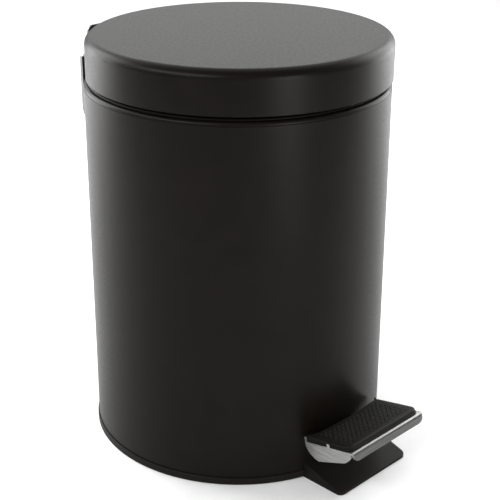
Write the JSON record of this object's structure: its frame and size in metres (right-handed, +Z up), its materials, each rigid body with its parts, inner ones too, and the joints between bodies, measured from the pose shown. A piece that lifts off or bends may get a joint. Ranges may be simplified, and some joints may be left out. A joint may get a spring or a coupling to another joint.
{
  "type": "pedal bin",
  "caption": "Round free-standing pedal bin: black steel body, pressed hinged lid, plastic base with a foot, steel pedal with an anti-slip pad, and a lift-out bucket.",
  "frame": {"origin": "on the bin's own axis, at the surface that it stands on", "axes": "+Z up along the bin's axis, -Y towards the pedal (the front), +Y towards the lid's hinge, +X to the left of somebody facing the pedal's back, that is to the right when looking along +Y"},
  "size_m": [0.2068, 0.2525, 0.2831],
  "materials": {
    "powder_coat": "satin black powder coat",
    "black_plastic": "fine moulded grain",
    "pad_rubber": "matt with anti-slip ribs",
    "satin_steel": "satin stainless",
    "zinc_steel": "zinc plated",
    "foot_rubber": "matt",
    "bucket_plastic": "satin moulded",
    "bush_nylon": "natural nylon"
  },
  "bodies": {
    "bin": {"body_shell": "powder_coat", "rim_ring": "black_plastic", "lid_buffers": "foot_rubber", "base_moulding": "black_plastic", "rubber_feet": "foot_rubber", "axle_caps": "black_plastic", "axle_cap_screws": "zinc_steel", "lever_axle": "zinc_steel", "hinge_bracket": "zinc_steel", "bracket_rivets": "zinc_steel", "hinge_pin": "zinc_steel", "hinge_pin_clips": "zinc_steel", "inner_bucket": "bucket_plastic"},
    "lid": {"lid": "powder_coat", "lid_hinge_leaf": "zinc_steel", "lid_rivets": "zinc_steel"},
    "rod": {"push_rod": "zinc_steel", "rod_clip": "zinc_steel", "rod_collar": "zinc_steel"},
    "pedal": {"pedal_lever": "zinc_steel", "lever_bushes": "bush_nylon", "pedal_plate": "satin_steel", "pedal_pad": "pad_rubber", "pedal_rivets": "zinc_steel"},
    "bail": {"bucket_bail": "zinc_steel"}
  },
  "joints": [
    {"name": "lid_hinge", "type": "hinge", "parent": "bin", "child": "lid", "pos_m": [0, 0.1072, 0.254], "axis": [-1, 0, 0], "range_deg": [0, 75]},
    {"name": "rod_pivot", "type": "hinge", "parent": "lid", "child": "rod", "pos_m": [0, 0.092, 0.2435], "axis": [-1, 0, 0], "range_deg": [-75.5, 0.5]},
    {"name": "pedal_pivot", "type": "hinge", "parent": "bin", "child": "pedal", "pos_m": [0, -0.032, 0.0125], "axis": [1, 0, 0], "range_deg": [0, 9.9]},
    {"name": "bail_swing", "type": "hinge", "parent": "bin", "child": "bail", "pos_m": [0, 0, 0.249], "axis": [-1, 0, 0], "range_deg": [0, 15]}
  ],
  "couplings": [
    {"joint": "rod_pivot", "follows": "lid_hinge", "ratio": -1},
    {"joint": "pedal_pivot", "follows": "lid_hinge", "ratio": 0.132}
  ]
}
